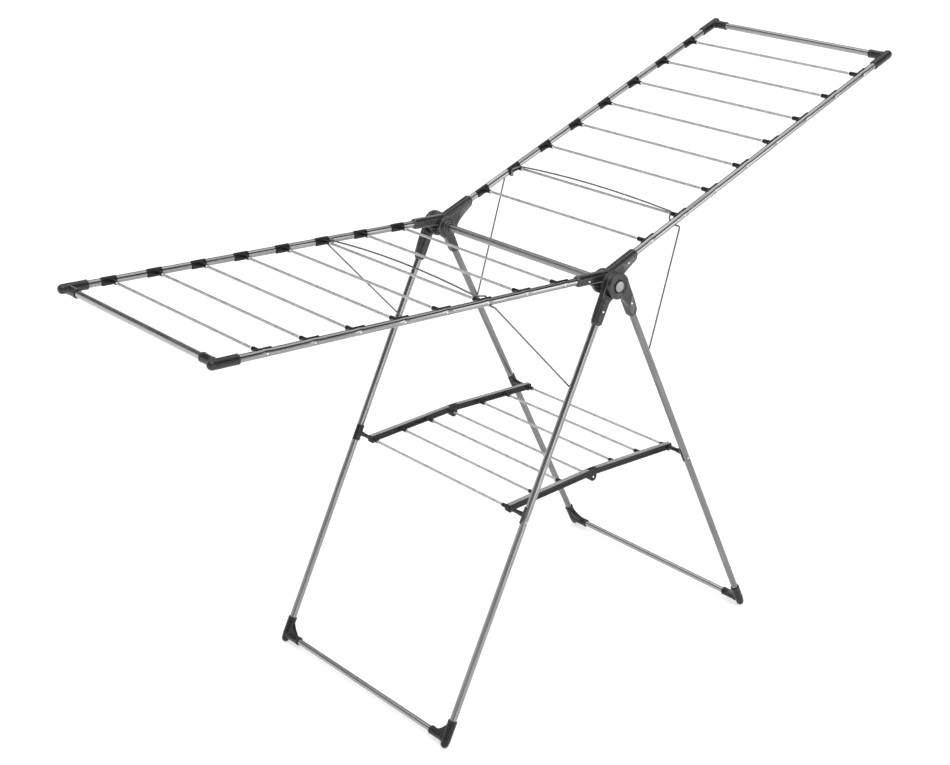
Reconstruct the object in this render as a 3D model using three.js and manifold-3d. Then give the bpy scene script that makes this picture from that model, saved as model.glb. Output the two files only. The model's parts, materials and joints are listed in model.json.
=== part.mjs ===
// A gull-wing clothes drying rack: two U-shaped leg frames crossed on one axle, two drying wings that fold
// down beside the legs, a wire stay under each wing, and a two-piece shelf hinged between the legs.
// Millimetres, +Z up, X along the wings, Y along the axle. The left and right halves are the same parts
// turned by 180 degrees about Z, so each half is built in its own frame, with +X pointing outwards.
// Legs and wings are both arms on the axle. An arm frame has +X along the arm, away from the axle, and +Z
// towards the side on which the tubes lie.

import * as THREE from "three";
import { mergeVertices } from "three/addons/utils/BufferGeometryUtils.js";
import Module from "manifold-3d";

const wasm = await Module();
wasm.setup();

const radians = THREE.MathUtils.degToRad;

// Driving dimensions
const HUB_HEIGHT = 950; // axle above the floor
const LEG_SLOPE = radians(26.2 - 90); // legs from the horizontal
const WING_SLOPE = { left: radians(2.9), right: radians(20.5) };
const WING_END_CUT = { left: radians(12), right: radians(20.5) }; // how far each wing can be raised
const LEG_PLANE = 297; // leg tube axes, from the middle plane
const LEG_OFFSET = 16; // leg tube axis beside the line through the axle
const WING_PLANE = 272;
const WING_OFFSET = 16.7;
const WING_LENGTH = 984.6; // axle to end bar
const WIRE_COUNT = 8;
const FIRST_WIRE = 137.8; // axle to first drying wire
const WIRE_PITCH = 107;
const FOOT_BAR_HEIGHT = 19.3;
const SHELF_DROP = 529; // axle to shelf pivot, along the leg
const SHELF_SPACES = 3; // wire spaces in each shelf half
const STAY_DROP = 236; // axle to stay pivot, along the leg
const STAY_CLIP = { left: 3, right: 2 }; // the clip that each stay is hooked beside

const TUBE_RADIUS = 8;
const TUBE_WALL = 0.9;
const END_BAR_RADIUS = 7.5;
const FOOT_BAR_RADIUS = 7;
const AXLE_RADIUS = 8.5;
const WIRE_RADIUS = 2.5;
const STAY_RADIUS = 1.6;
const SLIP = 0.3; // gap between pieces that touch or slide
const ROUND = 12; // sides of a tube
const FINE = 24; // sides of a disc
const COARSE = 6; // sides of a wire or a socket

const STEEL = { color: 0x9a9b9d, roughness: 0.35, metalness: 1 };
const COATED_WIRE = { color: 0xe2e2e0, roughness: 0.4, metalness: 0.1 };
const PLASTIC = { color: 0x3f3e40, roughness: 0.5, metalness: 0 };
const CAP_FINISH = { color: 0xb9b9bb, roughness: 0.4, metalness: 0.6 };

// In the left half, its own -Y end is at the back of the rack.
const SIDES = [
  { side: "left", yaw: Math.PI, ends: { "-1": "back", 1: "front" } },
  { side: "right", yaw: 0, ends: { "-1": "front", 1: "back" } },
];
const ENDS = [-1, 1];

// Solids

function solid(geometry) {
  const bare = geometry.clone();
  bare.deleteAttribute("normal");
  bare.deleteAttribute("uv");
  const merged = mergeVertices(bare, 1e-4);
  return new wasm.Manifold(
    new wasm.Mesh({
      numProp: 3,
      vertProperties: merged.attributes.position.array,
      triVerts: new Uint32Array(merged.index.array),
    }),
  );
}

function union(solids) {
  return solids.reduce((sum, next) => sum.add(next));
}

function piece(name, shape, finish) {
  const { vertProperties, triVerts } = shape.getMesh();
  const geometry = new THREE.BufferGeometry();
  geometry.setAttribute("position", new THREE.BufferAttribute(vertProperties, 3));
  geometry.setIndex(new THREE.BufferAttribute(triVerts, 1));
  geometry.computeVertexNormals();
  const made = new THREE.Mesh(geometry, new THREE.MeshStandardMaterial(finish));
  made.name = name;
  return made;
}

// A round bar from one [x, y, z] point to another.
function rod(from, to, radius, sides = ROUND) {
  const span = new THREE.Vector3(...to).sub(new THREE.Vector3(...from));
  const geometry = new THREE.CylinderGeometry(radius, radius, span.length(), sides);
  const turn = new THREE.Quaternion().setFromUnitVectors(
    new THREE.Vector3(0, 1, 0),
    span.clone().normalize(),
  );
  geometry.translate(0, span.length() / 2, 0).applyQuaternion(turn).translate(...from);
  return solid(geometry);
}

function tube(from, to, radius) {
  const over = new THREE.Vector3(...to).sub(new THREE.Vector3(...from)).normalize();
  const before = new THREE.Vector3(...from).sub(over).toArray();
  const beyond = new THREE.Vector3(...to).add(over).toArray();
  return rod(from, to, radius).subtract(rod(before, beyond, radius - TUBE_WALL));
}

// One round wire through the points, mitred at each bend.
function bentRod(points, radius) {
  const path = points.map((p) => new THREE.Vector3(...p));
  const runs = path.slice(1).map((p, i) => p.clone().sub(path[i]).normalize());
  const turn = new THREE.Quaternion().setFromUnitVectors(new THREE.Vector3(0, 0, 1), runs[0]);
  let ring = new THREE.CircleGeometry(radius, COARSE).applyQuaternion(turn).translate(...points[0]);
  const positions = [...ring.attributes.position.array.slice(0, 3 * (COARSE + 1))];
  runs.forEach((run, i) => {
    const bend = run.clone().add(runs[i + 1] ?? run).normalize();
    const next = ring.clone();
    for (let k = 0; k <= COARSE; k++) {
      const v = new THREE.Vector3().fromBufferAttribute(ring.attributes.position, k);
      v.addScaledVector(run, path[i + 1].clone().sub(v).dot(bend) / run.dot(bend));
      next.attributes.position.setXYZ(k, v.x, v.y, v.z);
      positions.push(v.x, v.y, v.z);
    }
    ring = next;
  });
  // Each ring is its centre and then its rim.
  const step = COARSE + 1;
  const last = runs.length * step;
  const index = [];
  for (let k = 0; k < COARSE; k++) {
    const a = 1 + k;
    const b = 1 + ((k + 1) % COARSE);
    index.push(0, b, a, last, last + a, last + b);
    for (let at = 0; at < last; at += step) {
      index.push(at + a, at + b, at + step + b, at + a, at + step + b, at + step + a);
    }
  }
  const geometry = new THREE.BufferGeometry();
  geometry.setAttribute("position", new THREE.Float32BufferAttribute(positions, 3));
  return solid(geometry.setIndex(index));
}

// An outline of [x, z] points, as thick as the span between y0 and y1.
function plate(points, y0, y1) {
  const shape = new THREE.Shape(points.map(([x, z]) => new THREE.Vector2(x, z)));
  const depth = Math.abs(y1 - y0);
  const geometry = new THREE.ExtrudeGeometry(shape, { depth, bevelEnabled: false });
  return solid(geometry.rotateX(Math.PI / 2).translate(0, Math.max(y0, y1), 0));
}

function box(x, y, z) {
  const size = [x, y, z].map(([a, b]) => Math.abs(b - a));
  const middle = [x, y, z].map(([a, b]) => (a + b) / 2);
  return solid(new THREE.BoxGeometry(...size).translate(...middle));
}

// Points of an arm frame in its half of the rack, as [x, z].
function armPoint(slope, along, offset) {
  const x = along * Math.cos(slope) - offset * Math.sin(slope);
  const z = along * Math.sin(slope) + offset * Math.cos(slope);
  return [x, z];
}

function armFrame(name, slope) {
  const group = new THREE.Group();
  group.name = name;
  group.rotation.y = -slope;
  return group;
}

// Hubs: a disc on the axle, an arm and a sleeve that takes the end of a tube

const HUB_MOUTH = 94; // end of the sleeve, from the axle
const SLEEVE_RADIUS = 10.5;
const LEG_SOCKET_START = 40;
const LEG_SLEEVE_START = 33; // clear of every disc
const WING_SOCKET_START = 16;
const CROSSING = 5; // a wing's sleeve runs this far past the axle
const BLOCK_END = 78; // end of the block beside a wing's sleeve, from the axle
const AXLE_BORE = [240, 320]; // wide enough for every disc
// The discs lie side by side on the axle: first the one at a half's -Y end, then the one at its +Y end.
const LEG_DISC = [
  { from: 301, to: 312, radius: 29, armTo: 309 },
  { from: 288, to: 300.7, radius: 28, armTo: 300.7 },
];
const WING_DISC = [
  { from: 283, to: 287.7, radius: 27.5, arm: [283, 286.2], block: 286.2 },
  { from: 253, to: 261.2, radius: 27.5, arm: [253, 261.2], block: 253 },
];

function disc(end, { from, to, radius }) {
  return rod([0, end * from, 0], [0, end * to, 0], radius, FINE);
}

function drilled(hub, end, plane, offset, start) {
  const socket = rod(
    [start, end * plane, offset],
    [HUB_MOUTH + 1, end * plane, offset],
    TUBE_RADIUS + SLIP,
  );
  const [inside, outside] = AXLE_BORE;
  const axleHole = rod([0, end * inside, 0], [0, end * outside, 0], AXLE_RADIUS + SLIP, FINE);
  return hub.subtract(socket).subtract(axleHole);
}

function legHub(end) {
  const size = LEG_DISC[end < 0 ? 0 : 1];
  const sleeve = rod(
    [LEG_SLEEVE_START, end * LEG_PLANE, LEG_OFFSET],
    [HUB_MOUTH, end * LEG_PLANE, LEG_OFFSET],
    SLEEVE_RADIUS,
  );
  const low = LEG_OFFSET - SLEEVE_RADIUS;
  const high = LEG_OFFSET + SLEEVE_RADIUS;
  const arm = plate(
    [[0, 0], [27, -6], [54, low + 1], [60, high - 2], [46, high], [4, size.radius - 1]],
    end * size.from,
    end * size.armTo,
  );
  return drilled(union([disc(end, size), arm, sleeve]), end, LEG_PLANE, LEG_OFFSET, LEG_SOCKET_START);
}

function wingHub(end, endCut) {
  const size = WING_DISC[end < 0 ? 0 : 1];
  const low = WING_OFFSET - SLEEVE_RADIUS;
  const high = WING_OFFSET + SLEEVE_RADIUS;
  const sleeve = rod(
    [-CROSSING, end * WING_PLANE, WING_OFFSET],
    [HUB_MOUTH, end * WING_PLANE, WING_OFFSET],
    SLEEVE_RADIUS,
  );
  const block = box([-CROSSING, BLOCK_END], [end * WING_PLANE, end * size.block], [low, high]);
  const faced = sleeve.add(block).trimByPlane([Math.cos(endCut), 0, -Math.sin(endCut)], SLIP * 2);
  const arm = plate(
    [[0, 0], [14, -22], [58, low], [66, high - 4], [4, 24]],
    end * size.arm[0],
    end * size.arm[1],
  );
  return drilled(union([disc(end, size), arm, faced]), end, WING_PLANE, WING_OFFSET, WING_SOCKET_START);
}

// Corners: a plug that joins a side tube, coming from -X, to a bar that runs along Y

const BAR_SLEEVE_RADIUS = 9.8;
const WING_CORNER = { mouth: 46, barMouth: 45, tip: 9.5, web: 17, barRadius: END_BAR_RADIUS };
const FOOT = { mouth: 38.5, barMouth: 51, tip: 11, web: 38, barRadius: FOOT_BAR_RADIUS };
const WEB_HALF = 4.5;

function cornerPlug(end, { mouth, barMouth, tip, web, barRadius }) {
  const sleeve = rod([tip, 0, 0], [-mouth, 0, 0], SLEEVE_RADIUS);
  const barSleeve = rod([0, 0, 0], [0, barMouth, 0], BAR_SLEEVE_RADIUS);
  const noseBall = new THREE.SphereGeometry(SLEEVE_RADIUS, ROUND, ROUND / 2);
  const nose = solid(noseBall.rotateZ(Math.PI / 2).translate(tip, 0, 0));
  const fillet = new THREE.Shape();
  fillet.moveTo(0, 0);
  fillet.lineTo(0, web);
  fillet.quadraticCurveTo(-web / 2, web / 2, -web, 0);
  const filletPlate = new THREE.ExtrudeGeometry(fillet, {
    depth: 2 * WEB_HALF,
    bevelEnabled: false,
    curveSegments: 5,
  });
  const webPlate = solid(filletPlate.translate(0, 0, -WEB_HALF));
  const sideSocket = rod([-BAR_SLEEVE_RADIUS, 0, 0], [-mouth - 1, 0, 0], TUBE_RADIUS + SLIP);
  const barSocket = rod([0, SLEEVE_RADIUS, 0], [0, barMouth + 1, 0], barRadius + SLIP);
  const plug = union([sleeve, barSleeve, nose, webPlate]).subtract(sideSocket).subtract(barSocket);
  return end < 0 ? plug : plug.mirror([0, 1, 0]);
}

// Distance from a corner to the end of the tube and to the end of the bar inside it
const TUBE_SETBACK = BAR_SLEEVE_RADIUS + SLIP;
const BAR_SETBACK = SLEEVE_RADIUS + SLIP;

// Leg frame

const BRACKET = { length: 38, thickness: 2.2, armRadius: 4.5, pinRadius: 2.5 };
const RAIL = { inner: 235, outer: 249, top: 8.5, bottom: -6.5, rise: 10.5 };
const PIN_STOP = 6; // wall left between the bracket's pin and the inner face of the rail

// How far along the leg its foot bar lies.
function footBarDistance() {
  const drop = HUB_HEIGHT - FOOT_BAR_HEIGHT + LEG_OFFSET * Math.cos(LEG_SLOPE);
  return drop / -Math.sin(LEG_SLOPE);
}

// The shelf bracket: a saddle on the inner side of the leg tube, and an arm towards the shelf rail.
// Its pin fills the pivot hole of the left half; the right half's pivot is left free.
function shelfBracket(end, pinned) {
  const { length, thickness, armRadius, pinRadius } = BRACKET;
  const reach = radians(90);
  const shape = new THREE.Shape();
  shape.absarc(0, 0, TUBE_RADIUS + SLIP + thickness, -reach, reach, false);
  shape.absarc(0, 0, TUBE_RADIUS + SLIP, reach, -reach, true);
  const saddle = new THREE.ExtrudeGeometry(shape, { depth: length, bevelEnabled: false, curveSegments: 5 });
  saddle.translate(0, 0, -length / 2).rotateY(Math.PI / 2).rotateX(end * -Math.PI / 2);
  const root = end * (LEG_PLANE - TUBE_RADIUS - SLIP - thickness / 2);
  const arm = rod([0, root, 0], [0, end * (RAIL.outer + SLIP), 0], armRadius);
  const pin = rod([0, root, 0], [0, end * (RAIL.inner + PIN_STOP), 0], pinRadius);
  saddle.translate(0, end * LEG_PLANE, 0);
  return union(pinned ? [solid(saddle), arm, pin] : [solid(saddle), arm]).translate([
    SHELF_DROP,
    0,
    LEG_OFFSET,
  ]);
}

function legTube(end) {
  const stayHole = rod(
    [STAY_DROP, end * (LEG_PLANE - TUBE_RADIUS - 1), LEG_OFFSET],
    [STAY_DROP, end * LEG_PLANE, LEG_OFFSET],
    STAY_RADIUS + SLIP,
    COARSE,
  );
  return tube(
    [LEG_SOCKET_START + SLIP, end * LEG_PLANE, LEG_OFFSET],
    [footBarDistance() - TUBE_SETBACK, end * LEG_PLANE, LEG_OFFSET],
    TUBE_RADIUS,
  ).subtract(stayHole);
}

function foot(end) {
  const plug = cornerPlug(end, FOOT).translate([footBarDistance(), end * LEG_PLANE, LEG_OFFSET]);
  return plug.trimByPlane([Math.sin(LEG_SLOPE), 0, Math.cos(LEG_SLOPE)], -HUB_HEIGHT);
}

function legFrame({ side, ends }) {
  const group = armFrame(`leg_frame_${side}`, LEG_SLOPE);
  for (const end of ENDS) {
    const place = `${side}_${ends[end]}`;
    group.add(piece(`leg_hub_${place}`, legHub(end), PLASTIC));
    group.add(piece(`leg_tube_${place}`, legTube(end), STEEL));
    group.add(piece(`foot_${place}`, foot(end), PLASTIC));
    group.add(piece(`shelf_bracket_${place}`, shelfBracket(end, side === "left"), PLASTIC));
  }
  const at = footBarDistance();
  const reach = LEG_PLANE - BAR_SETBACK;
  const bar = tube([at, -reach, LEG_OFFSET], [at, reach, LEG_OFFSET], FOOT_BAR_RADIUS);
  group.add(piece(`foot_bar_${side}`, bar, STEEL));
  return group;
}

const CAP = { radius: 12.5, thickness: 1.5, plug: 12 };

function axle(group) {
  const reach = LEG_DISC[0].to - SLIP;
  group.add(piece("axle_tube", tube([0, -reach, 0], [0, reach, 0], AXLE_RADIUS), STEEL));
  for (const [end, place] of [[-1, "front"], [1, "back"]]) {
    const face = end * (LEG_DISC[0].to + SLIP);
    const head = rod([0, face, 0], [0, face + end * CAP.thickness, 0], CAP.radius, FINE);
    const plug = rod([0, face - end * CAP.plug, 0], [0, face, 0], AXLE_RADIUS - TUBE_WALL - SLIP);
    group.add(piece(`axle_cap_${place}`, head.add(plug), CAP_FINISH));
  }
}

// Drying wing

const CLIP = { length: 38, shift: 5, thickness: 2.3, socketRadius: 4.5, reach: 26, hole: 14, lift: 1.4 };

function wireDistance(number) {
  return FIRST_WIRE + (number - 1) * WIRE_PITCH;
}

// A wire clip on the +Y side of a tube: a curved pad, and a socket for the wire near one end of it.
function wireClip(end) {
  const { length, shift, thickness, socketRadius, reach, hole, lift } = CLIP;
  const shape = new THREE.Shape();
  shape.absarc(0, 0, TUBE_RADIUS + thickness, radians(-25), radians(70), false);
  shape.absarc(0, 0, TUBE_RADIUS - TUBE_WALL / 2, radians(70), radians(-25), true);
  const pad = new THREE.ExtrudeGeometry(shape, { depth: length, bevelEnabled: false, curveSegments: 2 });
  // The section's X becomes +Y, its Y becomes +Z, and its depth runs along the tube.
  const section = new THREE.Matrix4().makeBasis(
    new THREE.Vector3(0, 1, 0),
    new THREE.Vector3(0, 0, 1),
    new THREE.Vector3(1, 0, 0),
  );
  pad.translate(0, 0, -end * shift - length / 2).applyMatrix4(section);
  const socket = rod([0, TUBE_RADIUS, lift], [0, reach, lift], socketRadius, COARSE);
  const bore = rod([0, reach - hole, lift], [0, reach + 1, lift], WIRE_RADIUS + SLIP, COARSE);
  return { pad: solid(pad), socket, bore };
}

function wingTube(end) {
  const { pad, socket, bore } = wireClip(end);
  let side = tube([WING_SOCKET_START + SLIP, 0, 0], [WING_LENGTH - TUBE_SETBACK, 0, 0], TUBE_RADIUS);
  for (let n = 1; n <= WIRE_COUNT; n++) {
    const at = [wireDistance(n), 0, 0];
    side = side.add(pad.translate(at)).add(socket.translate(at)).subtract(bore.translate(at));
  }
  const placed = end < 0 ? side : side.mirror([0, 1, 0]);
  return placed.translate([0, end * WING_PLANE, WING_OFFSET]);
}

function wing({ side, ends }) {
  const group = armFrame(`wing_${side}`, WING_SLOPE[side]);
  for (const end of ENDS) {
    const place = `${side}_${ends[end]}`;
    const corner = cornerPlug(end, WING_CORNER).translate([WING_LENGTH, end * WING_PLANE, WING_OFFSET]);
    group.add(piece(`wing_hub_${place}`, wingHub(end, WING_END_CUT[side]), PLASTIC));
    group.add(piece(`wing_tube_${place}`, wingTube(end), STEEL));
    group.add(piece(`wing_corner_${place}`, corner, PLASTIC));
  }
  const barReach = WING_PLANE - BAR_SETBACK;
  const bar = tube(
    [WING_LENGTH, -barReach, WING_OFFSET],
    [WING_LENGTH, barReach, WING_OFFSET],
    END_BAR_RADIUS,
  );
  group.add(piece(`end_bar_${side}`, bar, STEEL));
  const wireReach = WING_PLANE - CLIP.reach + CLIP.hole - SLIP;
  const height = WING_OFFSET + CLIP.lift;
  for (let n = 1; n <= WIRE_COUNT; n++) {
    const x = wireDistance(n);
    const wire = rod([x, -wireReach, height], [x, wireReach, height], WIRE_RADIUS, COARSE);
    group.add(piece(`wing_wire_${side}_${n}`, wire, COATED_WIRE));
  }
  return group;
}

// Stay: one bent wire from hole to hole. It passes under the side tubes, rises inside them on the axle's
// side of a clip, and crosses the wing above the wire of that clip.

const STAY_PLANE = 285.7;
const HOOK = { before: 20, under: 10, over: 8, inside: 13.2, crossing: 25 };

function stay({ side }) {
  const clip = wireDistance(STAY_CLIP[side]);
  const slope = WING_SLOPE[side];
  const pivot = armPoint(LEG_SLOPE, STAY_DROP, LEG_OFFSET);
  const under = armPoint(slope, clip - HOOK.before, WING_OFFSET - HOOK.under);
  const risen = armPoint(slope, clip - HOOK.before, WING_OFFSET + HOOK.over);
  const across = armPoint(slope, clip - 1, WING_OFFSET + HOOK.over);
  const inside = WING_PLANE - HOOK.inside;
  const path = [
    [pivot, LEG_PLANE - 4],
    [pivot, STAY_PLANE],
    [under, STAY_PLANE],
    [under, inside],
    [risen, inside],
    [across, WING_PLANE - HOOK.crossing],
  ];
  const back = path.map(([[x, z], y]) => [x, y, z]);
  const front = back.map(([x, y, z]) => [x, -y, z]).reverse();
  return piece(`stay_${side}`, bentRod([...back, ...front], STAY_RADIUS), STEEL);
}

// Shelf: each half has two rails. Its frame has the outer pivot and the middle hinge on Z = 0.

const SHELF_HALF = armPoint(LEG_SLOPE, SHELF_DROP, LEG_OFFSET)[0];
const KNUCKLE = { radius: 10.5, split: 242, gap: 0.2 };
const SHELF_SOCKET = { radius: 4.5, reach: 7, depth: 4 };
const RAIL_OVERHANG = 8;
const RAIL_GRIP = 6; // how far the fixed wires go into the back rail

// Height of the shelf wires above the line of the pivots.
function shelfWireHeight(x) {
  return (RAIL.rise / 2) * (1 - x / SHELF_HALF);
}

function shelfWire(x, reach) {
  return rod([x, -reach, 0], [x, reach, 0], WIRE_RADIUS, COARSE);
}

// The wires between the pivot and the hinge: fixed in the back rail, and free in the front one.
function innerShelfWires(backEnd, reach) {
  const numbers = [...Array(SHELF_SPACES - 1).keys()];
  return numbers.map((n) => {
    const x = ((n + 1) * SHELF_HALF) / SHELF_SPACES;
    const z = shelfWireHeight(x);
    const grip = RAIL.inner + RAIL_GRIP;
    return rod([x, -backEnd * reach, z], [x, backEnd * grip, z], WIRE_RADIUS, COARSE);
  });
}

function shelfRail(end, pinned) {
  const { inner, outer, top, bottom, rise } = RAIL;
  const body = plate(
    [
      [SLIP, bottom + rise],
      [SHELF_HALF + RAIL_OVERHANG - 3, bottom],
      [SHELF_HALF + RAIL_OVERHANG, bottom + 3],
      [SHELF_HALF + RAIL_OVERHANG, top - 2],
      [SHELF_HALF + RAIL_OVERHANG - 2, top],
      [SLIP, top + rise],
    ],
    end * inner,
    end * outer,
  );
  const { radius, split, gap } = KNUCKLE;
  const own = end < 0 ? [inner, split - gap] : [split + gap, outer];
  const other = end < 0 ? [split - gap, outer + 1] : [inner - 1, split + gap];
  const knuckle = rod([0, end * own[0], 0], [0, end * own[1], 0], radius, FINE);
  const relief = rod([0, end * other[0], 0], [0, end * other[1], 0], radius + SLIP, FINE);
  let rail = body.subtract(relief).add(knuckle);
  for (let n = 1; n <= SHELF_SPACES; n++) {
    const x = (n * SHELF_HALF) / SHELF_SPACES;
    const z = shelfWireHeight(x);
    const mouth = inner - SHELF_SOCKET.reach;
    const socket = rod([x, end * (inner + 1), z], [x, end * mouth, z], SHELF_SOCKET.radius, COARSE);
    const stop = [x, end * (inner + SHELF_SOCKET.depth), z];
    const bore = rod(stop, [x, end * (mouth - 1), z], WIRE_RADIUS + SLIP, COARSE);
    rail = rail.add(socket).subtract(bore);
  }
  const hingeHole = rod([0, end * (inner - 1), 0], [0, end * (outer + 1), 0], WIRE_RADIUS + SLIP);
  rail = rail.subtract(hingeHole);
  const pinHole = rod(
    [SHELF_HALF, end * (inner + PIN_STOP - SLIP), 0],
    [SHELF_HALF, end * (outer + 1), 0],
    BRACKET.pinRadius + SLIP,
  );
  return pinned ? rail.subtract(pinHole) : rail;
}

function shelf({ side, ends }) {
  const group = new THREE.Group();
  group.name = `shelf_${side}`;
  group.position.z = armPoint(LEG_SLOPE, SHELF_DROP, LEG_OFFSET)[1];
  const reach = RAIL.inner + SHELF_SOCKET.depth - SLIP;
  for (const end of ENDS) {
    const place = ends[end];
    const rail = shelfRail(end, side === "left");
    const whole = place === "back" ? union([rail, ...innerShelfWires(end, reach)]) : rail;
    group.add(piece(`shelf_rail_${side}_${place}`, whole, PLASTIC));
  }
  group.add(piece(`shelf_pivot_wire_${side}`, shelfWire(SHELF_HALF, reach), COATED_WIRE));
  if (side === "left") {
    group.add(piece("shelf_hinge_wire", shelfWire(0, RAIL.outer - 1), COATED_WIRE));
  }
  return group;
}

function dryingRack() {
  const rack = new THREE.Group();
  rack.name = "clothes_drying_rack";
  for (const half of SIDES) {
    const group = new THREE.Group();
    group.name = `half_${half.side}`;
    group.rotation.z = half.yaw;
    group.position.z = HUB_HEIGHT;
    group.add(legFrame(half), wing(half), stay(half), shelf(half));
    rack.add(group);
  }
  const middle = new THREE.Group();
  middle.name = "axle";
  middle.position.z = HUB_HEIGHT;
  axle(middle);
  rack.add(middle);
  // The wings stand at different slopes: centre the whole rack on X = 0.
  rack.updateMatrixWorld(true);
  const bounds = new THREE.Box3().setFromObject(rack);
  rack.position.x = -(bounds.min.x + bounds.max.x) / 2;
  return rack;
}

export default dryingRack();
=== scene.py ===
# Looks of a gull-wing clothes drying rack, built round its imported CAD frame.
# Lengths in the builders are millimetres in an arm frame: origin on the axle, +X along the leg or wing,
# +Z to the side where its tubes lie. Each half of the rack is the other turned by 180 degrees about Z.

import json
import math

import bmesh
import bpy
from mathutils import Matrix, Vector


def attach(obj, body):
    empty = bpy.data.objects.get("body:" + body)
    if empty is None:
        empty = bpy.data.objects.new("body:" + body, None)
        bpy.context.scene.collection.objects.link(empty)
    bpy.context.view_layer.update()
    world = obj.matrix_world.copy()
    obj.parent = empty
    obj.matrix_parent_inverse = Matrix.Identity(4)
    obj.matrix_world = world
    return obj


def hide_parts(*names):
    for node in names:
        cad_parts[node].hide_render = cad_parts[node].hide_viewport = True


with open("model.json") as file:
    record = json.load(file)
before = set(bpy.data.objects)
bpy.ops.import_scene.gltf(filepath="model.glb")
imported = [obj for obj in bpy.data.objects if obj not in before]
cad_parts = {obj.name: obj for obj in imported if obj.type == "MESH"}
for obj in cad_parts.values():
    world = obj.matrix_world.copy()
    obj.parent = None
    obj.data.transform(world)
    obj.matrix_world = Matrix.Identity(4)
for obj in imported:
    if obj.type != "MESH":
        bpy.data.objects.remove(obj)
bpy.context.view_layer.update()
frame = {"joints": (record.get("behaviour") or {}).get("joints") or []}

MM = 0.001
JOINTS = {joint["name"]: joint for joint in frame["joints"]}
HUB = Vector(JOINTS["leg_fold"]["pos_m"])

LEG_SLOPE = math.radians(26.2 - 90)  # the legs hang 26.2 degrees off the vertical
WING_SLOPE = {"left": math.radians(2.9), "right": math.radians(20.5)}
WING_END_CUT = {"left": math.radians(12), "right": math.radians(20.5)}  # slant of the sleeves' inner ends
LEG_PLANE = 297  # leg tube axes from the rack's middle
LEG_OFFSET = 16  # and beside the axle
WING_PLANE = 272  # wing tube axes from the rack's middle
WING_OFFSET = 16.7  # and above the axle
WING_LENGTH = 984.6  # axle to end bar, along the wing
WIRE_COUNT = 8
FIRST_WIRE = 137.8  # axle to first drying wire, along the wing
WIRE_PITCH = 107
WIRE_LIFT = 1.4  # wires above the side tube axes
FOOT_BAR = 1045.1  # axle to foot bar, along the leg
SHELF_DROP = 529  # axle to shelf pivots, along the leg
STAY_DROP = 236  # axle to stay ends, along the leg
STAY_CLIP = {"left": 3, "right": 2}  # the clip at which each stay is hooked, counted from the axle

TUBE_RADIUS = 8
END_BAR_RADIUS = 7.5
FOOT_BAR_RADIUS = 7
AXLE_RADIUS = 8.5
WIRE_RADIUS = 3.0
STAY_RADIUS = 1.9
SLEEVE_RADIUS = 10.5  # sockets that hold the side tubes
BAR_SLEEVE_RADIUS = 9.8
HUB_MOUTH = 94  # from the axle to the end of a hub's sleeve, along its arm
PINCH = 0.1  # share of its width that a side tube loses at a rivet
PINCH_SWELL = 0.05  # share of its height that it gains there
PINCH_WIDTH = 9.0
PINCH_SPREAD = 16  # the tube has close stations this far to each side of a rivet
SLIP = 0.3  # clearance between pieces
PAST = 2  # how far a cut runs on beyond the surface it opens
VOXEL = 0.8  # grid on which moulded pieces are fused

YAW = {"left": math.pi, "right": 0.0}
PLACE = {("left", -1): "back", ("left", 1): "front", ("right", -1): "front", ("right", 1): "back"}
SIDES = ("left", "right")
ENDS = (-1, 1)  # at end -1 the hubs of a half lie outside those of the other half


# Frames


def half_matrix(side):
    """From millimetres in one half, with +X outwards and the axle at the origin, to the row frame."""
    return Matrix.Translation(HUB) @ Matrix.Rotation(YAW[side], 4, "Z") @ Matrix.Scale(MM, 4)


def arm_matrix(side, slope):
    """From millimetres in an arm frame to the row frame."""
    return half_matrix(side) @ Matrix.Rotation(-slope, 4, "Y")


def arm_point(slope, along, offset):
    """A point of an arm frame in its half, as (x, z)."""
    x = along * math.cos(slope) - offset * math.sin(slope)
    z = along * math.sin(slope) + offset * math.cos(slope)
    return x, z


def cross_line(end, x, z, start, stop):
    """The two ends of a line across the rack at x and z, between two distances towards one end of it."""
    return (x, end * start, z), (x, end * stop, z)


# Mesh builders. Each adds a closed form to a bmesh.


def rod(bm, start, end, radius, end_radius=None, sides=40):
    """A round bar, or a cone when the end has a radius of its own."""
    start, end = Vector(start), Vector(end)
    turn = Vector((0, 0, 1)).rotation_difference(end - start).to_matrix().to_4x4()
    bmesh.ops.create_cone(
        bm,
        cap_ends=True,
        segments=sides,
        radius1=radius,
        radius2=radius if end_radius is None else end_radius,
        depth=(end - start).length,
        matrix=Matrix.Translation((start + end) / 2) @ turn,
    )


def ball(bm, centre, radius, stretch=(1, 1, 1)):
    """A sphere, stretched along each axis."""
    shape = Matrix.Translation(centre) @ Matrix.Diagonal((*stretch, 1))
    bmesh.ops.create_uvsphere(bm, u_segments=32, v_segments=20, radius=radius, matrix=shape)


def prism(bm, points, low, high, axis="Y"):
    """An outline, as (x, z) points for axis Y, (y, z) for X or (x, y) for Z, between low and high on it."""
    order = {"X": lambda a, b, t: (t, a, b), "Y": lambda a, b, t: (a, t, b), "Z": lambda a, b, t: (a, b, t)}
    rings = [[bm.verts.new(order[axis](a, b, t)) for a, b in points] for t in (low, high)]
    faces = [bm.faces.new(rings[0]), bm.faces.new(rings[1][::-1])]
    for k in range(len(points)):
        n = (k + 1) % len(points)
        faces.append(bm.faces.new((rings[0][n], rings[0][k], rings[1][k], rings[1][n])))
    bmesh.ops.recalc_face_normals(bm, faces=faces)


def arc(radius, start, end, steps):
    """Points on a circle round the origin, from one angle in degrees to another."""
    angles = [math.radians(start + (end - start) * k / steps) for k in range(steps + 1)]
    return [(radius * math.cos(a), radius * math.sin(a)) for a in angles]


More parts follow.
